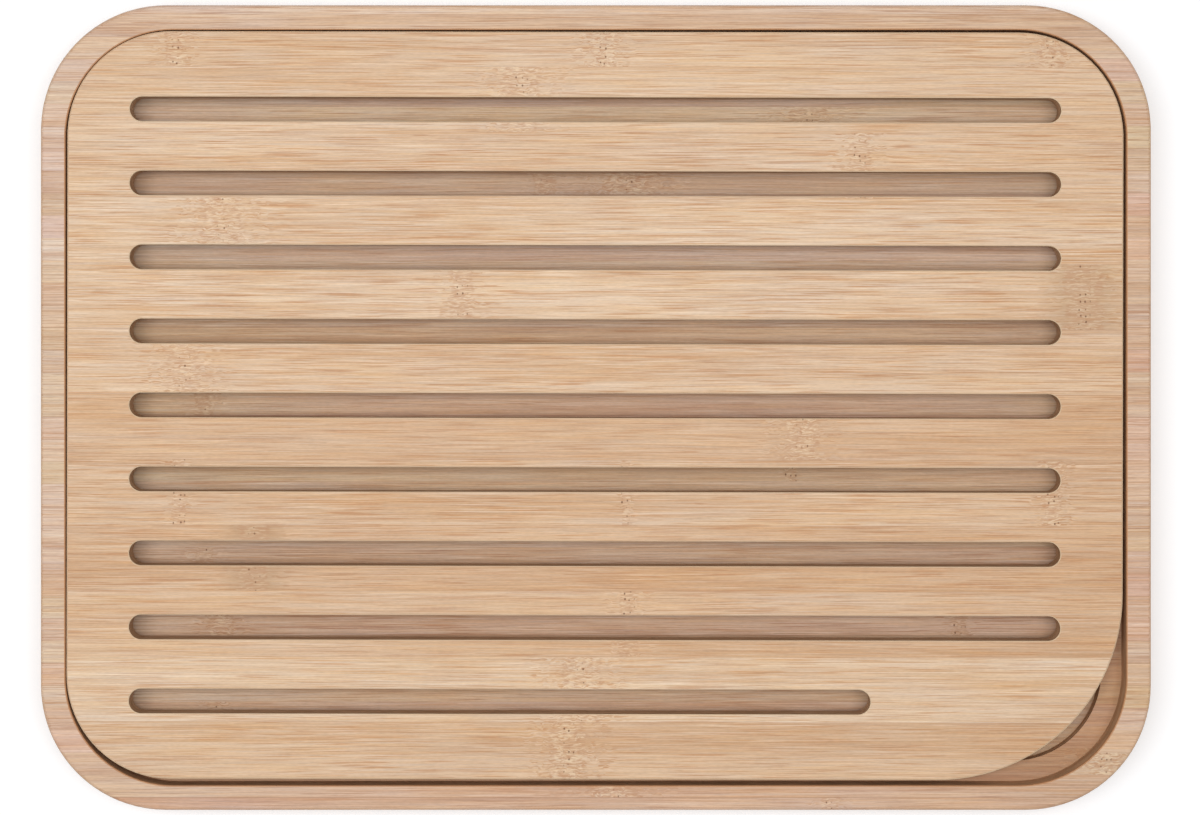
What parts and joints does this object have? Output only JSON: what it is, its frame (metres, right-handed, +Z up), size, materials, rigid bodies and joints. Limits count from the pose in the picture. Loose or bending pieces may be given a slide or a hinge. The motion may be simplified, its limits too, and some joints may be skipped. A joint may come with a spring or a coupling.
{
  "type": "bread board",
  "caption": "Bamboo bread board: a loose slotted grille lies in a rimmed tray with a crumb pocket, and lifts out by its cut-away corner.",
  "frame": {"origin": "centre of the tray's underside, on the surface that the board stands on", "axes": "+X along the grain and the slots, towards the end with the finger corner; -Y is the front, where the short slot and the finger corner are; +Z up"},
  "size_m": [0.36, 0.261, 0.02],
  "materials": {
    "tray_bamboo": "edge-grain bamboo, lightly oiled, satin",
    "grille_bamboo": "flat-grain bamboo with growth rings of the cane, lightly oiled, satin"
  },
  "bodies": {
    "tray": {"tray_strip_01": "tray_bamboo", "tray_strip_02": "tray_bamboo", "tray_strip_03": "tray_bamboo", "tray_strip_04": "tray_bamboo", "tray_strip_05": "tray_bamboo", "tray_strip_06": "tray_bamboo", "tray_strip_07": "tray_bamboo", "tray_strip_08": "tray_bamboo", "tray_strip_09": "tray_bamboo", "tray_strip_10": "tray_bamboo", "tray_strip_11": "tray_bamboo", "tray_strip_12": "tray_bamboo", "tray_strip_13": "tray_bamboo", "tray_strip_14": "tray_bamboo", "tray_strip_15": "tray_bamboo", "tray_strip_16": "tray_bamboo", "tray_strip_17": "tray_bamboo", "tray_strip_18": "tray_bamboo", "tray_strip_19": "tray_bamboo", "tray_strip_20": "tray_bamboo", "tray_strip_21": "tray_bamboo", "tray_strip_22": "tray_bamboo", "tray_strip_23": "tray_bamboo", "tray_strip_24": "tray_bamboo", "tray_strip_25": "tray_bamboo", "tray_strip_26": "tray_bamboo", "tray_strip_27": "tray_bamboo", "tray_strip_28": "tray_bamboo", "tray_strip_29": "tray_bamboo", "tray_strip_30": "tray_bamboo", "tray_strip_31": "tray_bamboo", "tray_strip_32": "tray_bamboo", "tray_strip_33": "tray_bamboo", "tray_strip_34": "tray_bamboo", "tray_strip_35": "tray_bamboo", "tray_strip_36": "tray_bamboo", "tray_strip_37": "tray_bamboo"},
    "grille": {"grille_stave_01": "grille_bamboo", "grille_stave_02": "grille_bamboo", "grille_stave_03": "grille_bamboo", "grille_stave_04": "grille_bamboo", "grille_stave_05": "grille_bamboo", "grille_stave_06": "grille_bamboo", "grille_stave_07": "grille_bamboo", "grille_stave_08": "grille_bamboo", "grille_stave_09": "grille_bamboo", "grille_stave_10": "grille_bamboo", "grille_stave_11": "grille_bamboo", "grille_stave_12": "grille_bamboo"}
  },
  "joints": [
    {"name": "grille_lift", "type": "slide", "parent": "tray", "child": "grille", "axis": [0, 0, 1], "range_m": [0, 0.06]}
  ]
}
